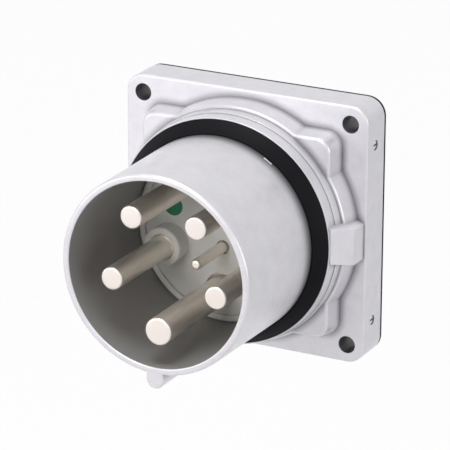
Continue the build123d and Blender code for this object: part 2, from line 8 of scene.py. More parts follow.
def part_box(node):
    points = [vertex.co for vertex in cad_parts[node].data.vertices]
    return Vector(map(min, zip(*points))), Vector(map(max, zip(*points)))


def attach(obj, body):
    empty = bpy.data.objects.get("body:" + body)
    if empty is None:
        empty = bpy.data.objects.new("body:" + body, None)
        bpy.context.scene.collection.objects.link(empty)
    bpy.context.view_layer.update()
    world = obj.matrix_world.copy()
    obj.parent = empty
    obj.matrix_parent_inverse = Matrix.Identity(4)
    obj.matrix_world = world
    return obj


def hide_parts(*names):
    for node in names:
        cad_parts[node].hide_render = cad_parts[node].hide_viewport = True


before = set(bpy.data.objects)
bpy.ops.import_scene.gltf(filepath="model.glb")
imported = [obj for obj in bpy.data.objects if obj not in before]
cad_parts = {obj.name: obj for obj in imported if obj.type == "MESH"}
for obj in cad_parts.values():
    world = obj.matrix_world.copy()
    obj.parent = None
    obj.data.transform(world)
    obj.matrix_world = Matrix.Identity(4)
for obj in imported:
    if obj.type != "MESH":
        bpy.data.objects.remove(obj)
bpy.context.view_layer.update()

# Sizes are in metres. A station is a distance in front of the panel's face, along -Y.
mm = 0.001
housing_low, housing_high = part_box("front_housing")
carrier_low, carrier_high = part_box("contact_carrier")
gasket_low, gasket_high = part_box("panel_gasket")
sticker_low, sticker_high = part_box("inspection_sticker")

# Flange and boss
flange_side = housing_high.x - housing_low.x
flange_rear = -housing_high.y
flange_depth = 16.2 * mm
flange_corner_r = 8.0 * mm
flange_edge_r = 1.0 * mm
flange_plate = 5.0 * mm
skirt_wall = 4.0 * mm
mounting_spacing = 98.0 * mm
mounting_hole_r = 3.8 * mm
mounting_post_r = 7.5 * mm
boss_height = 10.0 * mm
boss_round_r = 53.6 * mm
boss_square = 91.0 * mm
boss_square_corner_r = 6.5 * mm
boss_draft = radians(8)
boss_edge_r = 1.1 * mm
boss_wall = 4.0 * mm
gasket_opening_r = 46.0 * mm
blind_hole_depth = 9.5 * mm

# Collar, shroud, key rib and lugs
collar_foot_r = 51.0 * mm
collar_step_r = 50.6 * mm
collar_step_height = 14.5 * mm
collar_lip_foot_r = 50.2 * mm
collar_lip_r = 49.9 * mm
collar_lip_height = 20.3 * mm
seal_seat_r = 49.3 * mm
seal_seat_height = 14.8 * mm
bore_r = 40.0 * mm
shroud_mouth_r = 43.0 * mm
shroud_base_r = 43.9 * mm
shroud_rim_r = 1.2 * mm
key_r = 3.95 * mm
key_stand = 6.4 * mm
key_gap = 1.5 * mm
nib_angle = radians(57)
nib_length = 4.5 * mm
nib_width = 0.9 * mm
nib_stand = 0.4 * mm
nib_gap = 0.3 * mm
nib_edge_r = 0.3 * mm
lug_height = 15.6 * mm
lug_reach = 56.0 * mm
lug_end_height = 9.6 * mm
lug_lean = 2.2 * mm
lug_edge_r = 0.35 * mm
lug_sunk = 0.35 * mm
seal_height = 25.5 * mm
seal_clearance = 0.1 * mm

# Contact carrier and contacts
carrier_seat_depth = 3.0 * mm
carrier_clearance = 0.3 * mm
carrier_height = 21.8 * mm
carrier_plate_corner_r = 6.0 * mm
gland_r = 37.3 * mm
gland_height = 5.0 * mm
gland_width = 3.4 * mm
rim_outer_r = 38.4 * mm
rim_width = 2.0 * mm
rim_height = 0.7 * mm
groove_width = 0.8 * mm
groove_depth = 0.8 * mm
pitch_r = 25.3 * mm
pin_r = 5.0 * mm
earth_pin_r = 6.0 * mm
shank_margin = 0.4 * mm
pin_clearance = 0.15 * mm
earth_recess_r = 7.3 * mm
earth_recess_depth = 3.0 * mm
neutral_collar_r = 8.6 * mm
neutral_collar_bore_r = pin_r + shank_margin + pin_clearance
neutral_collar_stand = 8.2 * mm
neutral_shank_sunk = 0.25 * mm
pilot_place = (0.9 * mm, -6.1 * mm)
pilot_r = 2.4 * mm
pilot_recess_r = 3.1 * mm
pilot_recess_depth = 2.0 * mm
shoulder_r = 10.5 * mm
shoulder_length = 8.0 * mm
barrel_r = 9.5 * mm
barrel_length = 44.0 * mm
cable_bore_r = 6.25 * mm
cable_bore_depth = 38.0 * mm
clamp_screw_r = 4.0 * mm
clamp_screw_length = 8.0 * mm
clamp_setback = 12.0 * mm
clamp_pitch = 13.0 * mm
chamber_clearance = 0.25 * mm
pilot_barrel_r = 4.2 * mm
pilot_barrel_length = 30.0 * mm
pilot_bore_r = 1.7 * mm
pilot_bore_depth = 22.0 * mm
pilot_screw_r = 1.5 * mm
pilot_screw_length = 3.4 * mm
pilot_screw_setback = 8.0 * mm

# Screws and strap
carrier_screw_spacing = 66.0 * mm
carrier_screw_r = 2.5 * mm
carrier_screw_reach = 13.0 * mm
carrier_screw_head_r = 4.25 * mm
carrier_screw_head_height = 5.0 * mm
hexagon_across_flats = 4.0 * mm
hexagon_depth = 2.6 * mm
carrier_post_r = 5.6 * mm
strap_thickness = 1.0 * mm
strap_width = 8.0 * mm
strap_ring_width = 3.0 * mm
strap_eye_r = 5.0 * mm
strap_clearance = 0.15 * mm
retainer_r = 40.5 * mm
retainer_thickness = 5.0 * mm
rib_thickness = 3.0 * mm
rib_reach = 39.5 * mm
rib_angles = (18, 90, 162, 234)
rib_overhang = 3.0 * mm
rib_edge_r = 0.4 * mm
hub_r = 6.7 * mm
hub_clearance = 0.05 * mm
channel_width = 4.4 * mm
channel_wall = 2.0 * mm
retainer_ring_r = 36.0 * mm
retainer_screw_angles = (28, 152, 244)
retainer_screw_r = 2.0 * mm
retainer_screw_reach = 7.0 * mm
retainer_screw_head_r = 3.6 * mm
retainer_screw_head_height = 3.0 * mm
side_screw_spacing = 78.0 * mm
side_screw_depth = 7.8 * mm
side_screw_r = 2.0 * mm
side_screw_length = 6.0 * mm
side_screw_sunk = 0.4 * mm
side_hole_r = 2.15 * mm
side_post_r = 4.6 * mm
side_post_length = 4.0 * mm
slot_width = 0.8 * mm
slot_depth = 0.9 * mm
screw_clearance = 0.3 * mm
close_fit = 0.1 * mm

# What keeps two shapes that are made one from lying face on face
hair = 0.06 * mm

# Stations
flange_face = flange_rear + flange_depth
boss_face = flange_face + boss_height
mouth = -housing_low.y
seal_seat = flange_face + seal_seat_height
seal_front = flange_face + seal_height
collar_lip = flange_face + collar_lip_height
key_rear = seal_front + key_gap
skirt_roof = flange_face - flange_plate
boss_roof = boss_face - boss_wall
carrier_seat = flange_face - carrier_seat_depth
carrier_rear = -carrier_high.y
carrier_face = flange_face + carrier_height
retainer_rear = carrier_rear - retainer_thickness
barrel_front = carrier_rear + shoulder_length
barrel_rear = carrier_rear - barrel_length
divider_rear = barrel_rear - rib_overhang
pilot_rear = barrel_front - pilot_barrel_length
clamp_stations = (barrel_rear + clamp_setback, barrel_rear + clamp_setback + clamp_pitch)

# The contacts stand round the axis, from the earth at the bottom, anticlockwise seen from the front
pin_angles = {"phase_1": -18, "phase_2": 54, "phase_3": 126, "neutral": 198, "earth": -90}
root_heights = {"neutral": neutral_collar_stand - neutral_shank_sunk, "earth": -earth_recess_depth}
pin_height = 73.2 * mm
earth_pin_height = 77.6 * mm
pilot_height = 47.0 * mm


def on_pitch(name):
    """X and Z of a contact on the pitch circle."""
    angle = radians(pin_angles[name])
    return pitch_r * cos(angle), pitch_r * sin(angle)


def corners(spacing):
    """X and Z of the four corners of a square pattern."""
    half = spacing / 2
    return [(x, z) for x in (-half, half) for z in (-half, half)]


def side_screw_places():
    """For each side screw, the direction that it points in and its height."""
    half = side_screw_spacing / 2
    return [(side, z) for side in (0, pi) for z in (-half, half)]


def direction(run):
    """Angle of a run in X and Z, anticlockwise seen from the front."""
    return -Vector((1, 0)).angle_signed(run)


# Modelling steps

def take(piece):
    """Selects one piece alone, ready for the next operator."""
    bpy.ops.object.select_all(action="DESELECT")
    piece.select_set(True)
    bpy.context.view_layer.objects.active = piece
    return piece


def edit(piece):
    """Opens one piece for editing."""
    take(piece)
    bpy.ops.object.mode_set(mode="EDIT")


def close_edit():
    bpy.ops.object.mode_set(mode="OBJECT")


def settle():
    """Moves the new primitive's place into its mesh."""
    bpy.ops.object.transform_apply(location=True, rotation=True, scale=True)
    return bpy.context.object


def pick(kind, test):
    """Selects the vertices, edges or faces of the open piece that pass a test."""
    bpy.ops.mesh.select_mode(type=kind)
    bpy.ops.mesh.select_all(action="DESELECT")
    data = bpy.context.object.data
    mesh = bmesh.from_edit_mesh(data)
    for item in {"VERT": mesh.verts, "EDGE": mesh.edges, "FACE": mesh.faces}[kind]:
        item.select_set(test(item))
    mesh.select_flush_mode()
    bmesh.update_edit_mesh(data)


def at_station(station, near=0.01 * mm):
    """Test for an edge that lies across the axis at a station."""
    return lambda edge: all(abs(vertex.co.y + station) < near for vertex in edge.verts)


def along_axis(edge):
    """Test for an edge that runs along the axis."""
    run = edge.verts[0].co - edge.verts[1].co
    return abs(run.y) > 0.9 * run.length


def square_cornered(edge):
    """Test for an edge where two faces meet at a steep angle."""
    return len(edge.link_faces) == 2 and edge.calc_face_angle() > 1.2


def rod(place, radius, front, rear, sides=64):
    """Round bar along the axis between two stations."""
    bpy.ops.mesh.primitive_cylinder_add(
        vertices=sides, radius=radius, depth=front - rear,
        location=(place[0], -(front + rear) / 2, place[1]), rotation=(pi / 2, 0, 0))
    return settle()


def radial_rod(place, angle, station, radius, start, end, sides=48):
    """Round bar that points outwards from an axis at an angle, between two distances from it."""
    middle = (start + end) / 2
    bpy.ops.mesh.primitive_cylinder_add(
        vertices=sides, radius=radius, depth=end - start,
        location=(place[0] + middle * cos(angle), -station, place[1] + middle * sin(angle)),
        rotation=(0, pi / 2 - angle, 0))
    return settle()


def block(low, high):
    """Box between two corners."""
    low, high = Vector(low), Vector(high)
    bpy.ops.mesh.primitive_cube_add(size=1, location=(low + high) / 2, scale=high - low)
    return settle()


def bar(place, angle, start, end, width, front, rear):
    """Straight bar that points outwards from an axis at an angle, between two distances from it."""
    middle = (start + end) / 2
    bpy.ops.mesh.primitive_cube_add(
        size=1, scale=(end - start, front - rear, width), rotation=(0, -angle, 0),
        location=(place[0] + middle * cos(angle), -(front + rear) / 2, place[1] + middle * sin(angle)))
    return settle()


def round_edges(piece, test, radius, segments=3):
    """Rounds the edges of a piece that pass a test."""
    edit(piece)
    pick("EDGE", test)
    bpy.ops.mesh.bevel(offset=radius, segments=segments, affect="EDGES")
    close_edit()
    return piece


def rounded_plate(side, corner_r, front, rear, segments=12):
    """Square plate with round corners, across the axis between two stations."""
    plate = block((-side / 2, -front, -side / 2), (side / 2, -rear, side / 2))
    return round_edges(plate, along_axis, corner_r, segments)


def rounded_corner(before, here, after, radius, steps):
    """Points of the arc that rounds one corner of an outline."""
    to_before = (before - here).normalized()
    to_after = (after - here).normalized()
    half = to_before.angle(to_after) / 2
    centre = here + (to_before + to_after).normalized() * radius / sin(half)
    first = to_before * radius / tan(half) + here - centre
    last = to_after * radius / tan(half) + here - centre
    turn = first.angle_signed(last)
    points = []
    for step in range(steps + 1):
        angle = -turn * step / steps
        points.append(centre + Matrix.Rotation(angle, 2) @ first)
    return points


def outline(*marks, steps=5):
    """Points of an outline, from marks of radius, station and, where it is rounded, the rounding."""
    spots = [Vector(mark[:2]) for mark in marks]
    points = []
    for index, mark in enumerate(marks):
        if len(mark) < 3:
            points.append(spots[index])
            continue
        after = spots[(index + 1) % len(spots)]
        points += rounded_corner(spots[index - 1], spots[index], after, mark[2], steps)
    return points


def drawn(places):
    """Opens a new piece for editing, a line from each place to the next."""
    bpy.ops.mesh.primitive_plane_add(size=mm, location=places[0])
    piece = settle()
    edit(piece)
    bpy.ops.mesh.select_mode(type="VERT")
    bpy.ops.mesh.select_all(action="SELECT")
    bpy.ops.mesh.merge(type="CENTER")
    for here, there in zip(places, places[1:]):
        bpy.ops.mesh.extrude_region_move(TRANSFORM_OT_translate={"value": Vector(there) - Vector(here)})
    bpy.ops.mesh.select_all(action="SELECT")
    return piece


def prism(places, run):
    """Solid that starts as the flat face through a list of places and runs straight on."""
    piece = drawn(places + places[:1])
    bpy.ops.mesh.remove_doubles(threshold=0.002 * mm)
    bpy.ops.mesh.edge_face_add()
    bpy.ops.mesh.extrude_region_move(TRANSFORM_OT_translate={"value": run})
    bpy.ops.mesh.select_all(action="SELECT")
    bpy.ops.mesh.normals_make_consistent(inside=False)
    close_edit()
    return piece


def turned(points, place=(0, 0), sides=128):
    """Spins an outline round an axis parallel to the inlet's. It is closed unless it ends on the axis."""
    if points[0].x > 0:
        points = points + points[:1]
    piece = drawn([(place[0] + point.x, -point.y, place[1]) for point in points])
    bpy.ops.mesh.spin(steps=sides, angle=2 * pi, center=(place[0], 0, place[1]), axis=(0, 1, 0))
    bpy.ops.mesh.select_all(action="SELECT")
    bpy.ops.mesh.remove_doubles(threshold=0.002 * mm)
    bpy.ops.mesh.normals_make_consistent(inside=False)
    close_edit()
    return piece


def together(pieces):
    """Joins loose shapes into one object."""
    take(pieces[0])
    for piece in pieces:
        piece.select_set(True)
    bpy.ops.object.join()
    return bpy.context.object


def combine(piece, other, operation):
    """Adds or cuts one shape, which goes."""
    take(piece)
    bpy.ops.object.modifier_add(type="BOOLEAN")
    modifier = piece.modifiers[-1]
    modifier.operation = operation
    modifier.object = other
    modifier.solver = "EXACT"
    bpy.ops.object.modifier_apply(modifier=modifier.name)
    bpy.data.objects.remove(other)
    return piece


def cut(piece, *shapes):
    """Cuts shapes out of a piece."""
    return combine(piece, together(list(shapes)), "DIFFERENCE")


def weld(piece, *shapes):
    """Makes a piece and the shapes that reach into it one solid."""
    for shape in shapes:
        combine(piece, shape, "UNION")
    return piece


def dress(piece, name, node, material, crease=30):
    """Gives a finished piece its name, shading, material and body, and hides the CAD part of its node."""
    take(piece)
    piece.name = name
    piece.data.name = name
    edit(piece)
    bpy.ops.mesh.select_all(action="SELECT")
    bpy.ops.mesh.remove_doubles(threshold=0.001 * mm)
    close_edit()
    bpy.ops.object.shade_smooth_by_angle(angle=radians(crease))
    bpy.ops.object.modifier_add(type="WEIGHTED_NORMAL")
    piece.modifiers[-1].keep_sharp = True
    bpy.ops.object.modifier_apply(modifier=piece.modifiers[-1].name)
    piece.data.materials.clear()
    piece.data.materials.append(material)
    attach(piece, "root")
    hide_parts(node)
    return piece


# Materials

class Shade:
    """One socket of a material. Sums and products of sockets add their own Math nodes."""

    def __init__(self, tree, socket=None):
        self.tree = tree
        self.socket = socket

    def add(self, kind, settings=None, inputs=None, output=0):
        """Adds a node, makes its settings, fills its inputs and gives one of its outputs."""
        node = self.tree.nodes.new(kind)
        for name, value in (settings or {}).items():
            if name == "stops":
                ramp = node.color_ramp.elements
                while len(ramp) < len(value):
                    ramp.new(0.5)
                for element, (place, colour) in zip(ramp, value):
                    element.position = place
                    element.color = colour
            else:
                setattr(node, name, value)
        for name, value in (inputs or {}).items():
            if isinstance(value, Shade):
                self.tree.links.new(value.socket, node.inputs[name])
            else:
                node.inputs[name].default_value = value
        return Shade(self.tree, node.outputs[output])

    def maths(self, operation, first, second=0.0):
        return self.add("ShaderNodeMath", {"operation": operation}, {0: first, 1: second})

    def __add__(self, other):
        return self.maths("ADD", self, other)

    def __sub__(self, other):
        return self.maths("SUBTRACT", self, other)

    def __rsub__(self, other):
        return self.maths("SUBTRACT", other, self)

    def __mul__(self, other):
        return self.maths("MULTIPLY", self, other)

    __radd__ = __add__
    __rmul__ = __mul__


def new_finish(name):
    """An empty material with its surface shader, and the start of its node tree."""
    material = bpy.data.materials.new(name)
    material.use_nodes = True
    return material, Shade(material.node_tree)


def principled(tree):
    return next(node for node in tree.nodes if node.type == "BSDF_PRINCIPLED")


def connect(shade, **inputs):
    """Links values that vary over the surface to the surface shader, and sets those that don't."""
    shader = principled(shade.tree)
    for name, value in inputs.items():
        socket = shader.inputs[name.replace("_", " ").title().replace("Ior", "IOR")]
        if isinstance(value, Shade):
            shade.tree.links.new(value.socket, socket)
        else:
            socket.default_value = value


def noise(start, place, scale, detail=2.0, roughness=0.5):
    """Noise from 0 to 1, with its scale in spots to the metre."""
    return start.add("ShaderNodeTexNoise", {"noise_dimensions": "3D"},
                     {"Vector": place, "Scale": scale, "Detail": detail, "Roughness": roughness})


def blend_colours(start, factor, first, second):
    """Colour between two colours."""
    return start.add("ShaderNodeMix", {"data_type": "RGBA"}, {0: factor, 6: first, 7: second}, output=2)


def bump(start, height, strength, depth):
    return start.add("ShaderNodeBump", {}, {"Height": height, "Strength": strength, "Distance": depth})


def object_place(start):
    return start.add("ShaderNodeTexCoord", {}, {}, output=3)


def parts_of(start, place):
    """X, Y and Z of a place."""
    outputs = start.add("ShaderNodeSeparateXYZ", {}, {"Vector": place}).socket.node.outputs
    return [Shade(start.tree, output) for output in outputs]


def housing_paint():
    """Silver stoved paint on a casting, with fine metallic grain and painted shade that darkens its creases.

    A band of painted shade darkens the shroud in front of the seal, the shroud's bore is painted darker as
    shade, and the bolt holes are painted dark as shade."""
    dark_silver = (0.62, 0.605, 0.645, 1)
    light_silver = (0.90, 0.885, 0.925, 1)
    # Painted shade: dark grey that creases and corners are darkened towards.
    crease_shade_grey = (0.12, 0.12, 0.13, 1)
    # Painted shade: dark grey for a band on the shroud just in front of the black seal.
    seal_shade_grey = (0.10, 0.10, 0.11, 1)
    # Painted shade: a darker grey for the shroud's bore, where shade falls inside.
    bore_shade_grey = (0.36, 0.352, 0.348, 1)
    # Painted shade: dark grey inside the bolt holes.
    hole_shade_grey = (0.16, 0.16, 0.17, 1)
    crease_width = 3.6 * mm
    seal_shade_depth = 0.85
    seal_shade_length = 7 * mm
    material, start = new_finish("housing_paint")
    place = object_place(start)
    grain = noise(start, place, 2600.0, 2.0)
    peel = noise(start, place, 700.0, 2.0)
    cloud = noise(start, place, 160.0, 3.0)
    x, y, z = parts_of(start, place)
    across = start.maths("ABSOLUTE", x) - mounting_spacing / 2
    up = start.maths("ABSOLUTE", z) - mounting_spacing / 2
    in_hole = start.maths("LESS_THAN", across * across + up * up, (mounting_hole_r + hair) ** 2)
    from_axis = x * x + z * z
    in_bore = start.maths("LESS_THAN", from_axis, (bore_r + hair) ** 2)
    on_shroud = start.maths("LESS_THAN", from_axis, (shroud_base_r + hair) ** 2)
    silver = blend_colours(start, 0.5 * grain + 0.5 * cloud, dark_silver, light_silver)
    # Painted shade: ambient occlusion darkens the paint's colour in creases and corners, where other surfaces
    # are near.
    open_air = start.add("ShaderNodeAmbientOcclusion", {"samples": 8}, {"Distance": crease_width},
                         output="AO")
    crease_shaded = blend_colours(start, open_air * open_air, crease_shade_grey, silver)
    # Painted shade: a band that is darkest at the seal and fades out a few millimetres in front of it, on the
    # shroud only.
    seal_shade = start.add("ShaderNodeMapRange", {"interpolation_type": "SMOOTHSTEP"}, {
        "Value": -1 * y, "From Min": seal_front - mm, "From Max": seal_front + seal_shade_length,
        "To Min": seal_shade_depth, "To Max": 0})
    seal_shaded = blend_colours(start, on_shroud * seal_shade, crease_shaded, seal_shade_grey)
    # Painted shade: the bore is given a darker colour.
    bore_shaded = blend_colours(start, in_bore, seal_shaded, bore_shade_grey)
    # Painted shade: the bolt holes are given a dark colour.
    colour = blend_colours(start, in_hole, bore_shaded, hole_shade_grey)
    connect(start, base_color=colour, metallic=0.36, roughness=0.31 + 0.10 * grain + 0.12 * in_bore,
            normal=bump(start, peel + 0.35 * grain, 0.4, 0.03 * mm))
    return material


def rubber(name, colour, roughness):
    """Black rubber with a fine bloom."""
    material, start = new_finish(name)
    place = object_place(start)
    grain = noise(start, place, 3000.0, 2.0)
    cloud = noise(start, place, 120.0, 3.0)
    dark = tuple(0.75 * value for value in colour) + (1,)
    light = tuple(1.35 * value for value in colour) + (1,)
    connect(start, base_color=blend_colours(start, cloud, dark, light), roughness=roughness + 0.14 * cloud,
            specular_ior_level=0.08, normal=bump(start, grain, 0.4, 0.015 * mm))
    return material


def moulded_plastic(name, colour, roughness):
    """Filled thermoset, matt, with a fine spark-eroded texture."""
    material, start = new_finish(name)
    place = object_place(start)
    grain = noise(start, place, 3800.0, 2.0)
    cloud = noise(start, place, 70.0, 4.0)
    dark = tuple(0.93 * value for value in colour) + (1,)
    light = tuple(min(1.0, 1.06 * value) for value in colour) + (1,)
    mixed = blend_colours(start, 0.5 * grain + 0.5 * cloud, dark, light)
    connect(start, base_color=mixed, roughness=roughness + 0.12 * grain,
            normal=bump(start, grain, 0.35, 0.02 * mm))
    return material


def turned_metal(name, place, end, colour, shaded_tip_colour, roughness):
    """Plated metal with fine turning lines round an axis along Y, drawn streaks and painted shade that
    darkens the tip.
    """
    material, start = new_finish(name)
    centred = start.add("ShaderNodeMapping", {}, {
        "Vector": object_place(start), "Location": (-place[0], 0, -place[1])})
    across, along, up = parts_of(start, centred)
    radius = start.maths("SQRT", across * across + up * up)
    lines = start.add("ShaderNodeCombineXYZ", {}, {"X": radius, "Y": along})
    turning = noise(start, lines, 9000.0, 2.0)
    cloud = noise(start, centred, 260.0, 3.0)
    stretched = start.add("ShaderNodeMapping", {}, {"Vector": centred, "Scale": (1, 0.04, 1)})
    streaks = noise(start, stretched, 700.0, 3.0)
    dark = tuple(0.76 * value for value in colour) + (1,)
    light = tuple(colour) + (1,)
    shaft = blend_colours(start, 0.4 * cloud + 0.6 * streaks, dark, light)
    # Painted shade: the tip's end gets a darker colour than the shaft.
    on_tip = start.maths("LESS_THAN", along, 0.2 * mm - end)
    connect(start, base_color=blend_colours(start, on_tip, shaft, (*shaded_tip_colour, 1)), metallic=0.76,
            roughness=roughness + 0.10 * turning,
            normal=bump(start, turning, 0.25, 0.006 * mm))
    return material


def plain_metal(name, colour, roughness, scale=1500.0):
    """Plated or rolled metal with a faint mottle."""
    material, start = new_finish(name)
    place = object_place(start)
    mottle = noise(start, place, scale, 3.0)
    dark = tuple(0.82 * value for value in colour) + (1,)
    light = tuple(colour) + (1,)
    connect(start, base_color=blend_colours(start, mottle, dark, light), metallic=1.0,
            roughness=roughness + 0.15 * mottle, normal=bump(start, mottle, 0.3, 0.01 * mm))
    return material


def sticker_green():
    """Printed green vinyl with a fine weave."""
    material, start = new_finish("sticker_green")
    place = object_place(start)
    weave = noise(start, place, 2200.0, 2.0)
    colour = blend_colours(start, weave, (0.016, 0.21, 0.10, 1), (0.03, 0.27, 0.135, 1))
    connect(start, base_color=colour, roughness=0.38 + 0.1 * weave, normal=bump(start, weave, 0.2, 0.01 * mm))
    return material


# Housing

def lug_pair():
    """Two locking lugs. Their flanks lean, and their fronts slope back from just below the collar's lip."""
    root = seal_seat_r - 2 * mm
    top = collar_lip - lug_sunk
    slope = (lug_reach - collar_lip_r) / (collar_lip_height - lug_end_height)
    side = [(root, top), (collar_lip_r + lug_sunk * slope, top), (lug_reach, flange_face + lug_end_height),
            (lug_reach, flange_face - mm), (root, flange_face - mm)]
    places = []
    for x, station in side:
        lean = lug_lean * (x - collar_foot_r) / (lug_reach - collar_foot_r)
        places.append((x, -station, (lug_lean - lug_height) / 2 - lean))
    lug = prism(places, (0, 0, lug_height))

    def outside(edge):
        """Test for an edge of the lug that stands clear of the collar and the flange."""
        return (max(vertex.co.x for vertex in edge.verts) > collar_foot_r
                and min(-vertex.co.y for vertex in edge.verts) > flange_face)

    round_edges(lug, outside, lug_edge_r)
    cut(lug, rod((0, 0), (seal_seat_r + collar_lip_r) / 2, mouth, 0, sides=192))
    take(lug)
    bpy.ops.object.duplicate()
    other = bpy.context.object
    bpy.ops.transform.rotate(value=pi, orient_axis="Y", center_override=(0, 0, 0))
    settle()
    return together([lug, other])


def key_rib():
    """Rounded rib under the shroud, which keys the mating connector."""
    centre = key_r - shroud_mouth_r - key_stand
    root = -(bore_r + shroud_mouth_r) / 2
    front = mouth - hair
    steps = 24
    places = [(key_r, -front, root)]
    for step in range(steps + 1):
        angle = pi * step / steps
        places.append((key_r * cos(angle), -front, centre - key_r * sin(angle)))
    places.append((-key_r, -front, root))
    rib = prism(places, (0, front - key_rear, 0))
    return round_edges(rib, at_station(front), 0.8 * mm, 4)


def moulding_nib():
    """Small smooth nib left on the shroud in front of the seal."""
    taper = (shroud_base_r - shroud_mouth_r) / (mouth - seal_seat)
    radius = shroud_base_r - taper * (seal_front - seal_seat)
    front = seal_front + nib_width + nib_gap
    nib = bar((0, 0), nib_angle, radius - mm, radius + nib_stand, nib_length, front, front - nib_width)
    return round_edges(nib, lambda edge: True, nib_edge_r, 4)


def drafted_shapes(front, rear, wall, corner_r, sides):
    """Disc and square of the boss between two stations, both drafted, and smaller all round by a wall."""
    spread = mm * tan(boss_draft)
    shrink = (front - rear) * tan(boss_draft)
    wide = boss_round_r - wall + spread
    bpy.ops.mesh.primitive_cone_add(
        vertices=sides, radius1=wide, radius2=wide - shrink, depth=front - rear,
        location=(0, -(front + rear) / 2, 0), rotation=(pi / 2, 0, 0))
    disc = settle()
    side = boss_square - 2 * wall + 2 * spread
    square = rounded_plate(side, corner_r, front, rear)
    edit(square)
    pick("FACE", lambda face: face.normal.y < -0.9)
    narrow = 1 - 2 * shrink / side
    bpy.ops.transform.resize(value=(narrow, 1, narrow), center_override=(0, -front, 0))
    close_edit()
    return disc, square


def drafted_boss():
    """Disc and square that stand on the flange in one, rounded in front."""
    shapes = drafted_shapes(boss_face, flange_face - mm, 0, boss_square_corner_r, 192)
    return [round_edges(shape, at_station(boss_face), boss_edge_r, 5) for shape in shapes]


def boss_pocket():
    """The hollow behind the boss, as one shape to cut."""
    corner_r = boss_square_corner_r - boss_edge_r
    return weld(*drafted_shapes(boss_roof, skirt_roof - mm, boss_wall, corner_r, 128))


def housing_casting(paint):
    """One casting: flange, boss, collar, lugs, shroud and key rib, hollow behind, with its holes."""
    casting = rounded_plate(flange_side, flange_corner_r, flange_face, flange_rear, 16)
    edit(casting)
    pick("FACE", lambda face: face.normal.y > 0.9)
    bpy.ops.mesh.inset(thickness=skirt_wall)
    hollow = (0, flange_rear - skirt_roof, 0)
    bpy.ops.mesh.extrude_region_move(TRANSFORM_OT_translate={"value": hollow})
    close_edit()
    round_edges(casting, at_station(flange_face), flange_edge_r, 5)
    weld(casting, *drafted_boss())
    cut(casting, boss_pocket())
    cut(casting, rod((0, 0), bore_r + 2 * mm, boss_face + mm, boss_roof - mm, sides=192))

    wall = outline(
        (bore_r, carrier_seat), (bore_r, mouth, 0.6 * mm), (shroud_mouth_r, mouth, shroud_rim_r),
        (shroud_base_r, seal_seat), (seal_seat_r, seal_seat),
        (seal_seat_r, collar_lip, 0.15 * mm), (collar_lip_r, collar_lip, 0.25 * mm),
        (collar_lip_foot_r, flange_face + collar_step_height),
        (collar_step_r, flange_face + collar_step_height, 0.25 * mm),
        (collar_foot_r, boss_face - 0.2 * mm), (collar_foot_r, boss_face - boss_wall / 2),
        (shroud_base_r, boss_face - boss_wall / 2), (shroud_base_r, carrier_seat))
    weld(casting, turned(wall, sides=192), lug_pair(), key_rib(), moulding_nib())

    posts = [rod(place, carrier_post_r, boss_face - boss_wall / 2, carrier_seat + hair, 48)
             for place in corners(carrier_screw_spacing)]
    posts += [rod(place, mounting_post_r, flange_face - flange_plate / 2, flange_rear + hair, 48)
              for place in corners(mounting_spacing)]
    station = flange_face - side_screw_depth
    skirt_inside = flange_side / 2 - skirt_wall
    posts += [radial_rod((0, z), side, station, side_post_r, skirt_inside - side_post_length,
                         skirt_inside + skirt_wall / 2) for side, z in side_screw_places()]
    weld(casting, *posts)

    holes = [rod(place, mounting_hole_r, flange_face + mm, flange_rear - mm, 64)
             for place in corners(mounting_spacing)]
    holes += [rod(place, carrier_screw_r + close_fit, carrier_seat + blind_hole_depth, carrier_seat - mm, 32)
              for place in corners(carrier_screw_spacing)]
    holes += [radial_rod((0, z), side, station, side_hole_r, flange_side / 2 - blind_hole_depth,
                         flange_side / 2 + mm) for side, z in side_screw_places()]
    cut(casting, *holes)
    return dress(casting, "housing_casting", "front_housing", paint)


def flange_gasket(material):
    """Flat rubber gasket with its opening and bolt holes."""
    gasket = rounded_plate(flange_side - 2 * hair, flange_corner_r, -gasket_low.y, -gasket_high.y)
    opening = rod((0, 0), gasket_opening_r, flange_rear + mm, -mm, sides=128)
    holes = [rod(place, mounting_hole_r, flange_rear + mm, -mm, 48) for place in corners(mounting_spacing)]
    cut(gasket, opening, *holes)
    return dress(gasket, "flange_gasket", "panel_gasket", material)


def seal_ring(material):
    """Rubber ring between the collar and the shroud, domed in front."""
    taper = (shroud_base_r - shroud_mouth_r) / (mouth - seal_seat)
    inner_r = shroud_mouth_r + taper * (mouth - seal_front) + seal_clearance
    outer_r = seal_seat_r - seal_clearance
    section = outline(
        (inner_r, seal_front, 0.35 * mm),
        (shroud_base_r + seal_clearance, seal_seat + seal_clearance),
        (outer_r, seal_seat + seal_clearance), (outer_r, collar_lip, 0.3 * mm))
    middle = Vector(((inner_r + outer_r) / 2, (seal_front + collar_lip) / 2))
    bulge = Vector((0.51, 0.46)) * 0.6 * mm
    section.append(middle + bulge)
    return dress(turned(section, sides=192), "seal_ring", "face_seal", material, crease=50)


# Contact carrier

